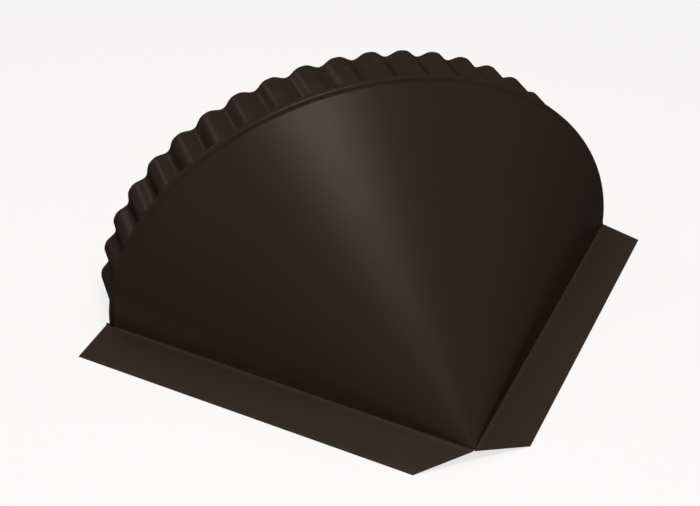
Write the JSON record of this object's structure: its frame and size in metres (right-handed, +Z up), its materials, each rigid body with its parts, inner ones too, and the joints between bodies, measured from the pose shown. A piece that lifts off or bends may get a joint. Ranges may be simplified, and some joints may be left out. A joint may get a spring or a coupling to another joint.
{
  "type": "ridge end cap",
  "caption": "Half-cone sheet-steel cap with folded side flanges and a crimped skirt, which closes the end of a round roof ridge.",
  "frame": {"origin": "centre of the bounding box at its bottom, on the plane that the flanges' lower edges rest on", "axes": "+Z up, +Y along the ridge from the cone's point to the crimped skirt, X across the ridge"},
  "size_m": [0.2536, 0.1386, 0.1011],
  "materials": {
    "brown_paint": "satin chocolate-brown coating on thin galvanised steel sheet"
  },
  "bodies": {
    "root": {"ridge_end_cap": "brown_paint"}
  },
  "joints": []
}
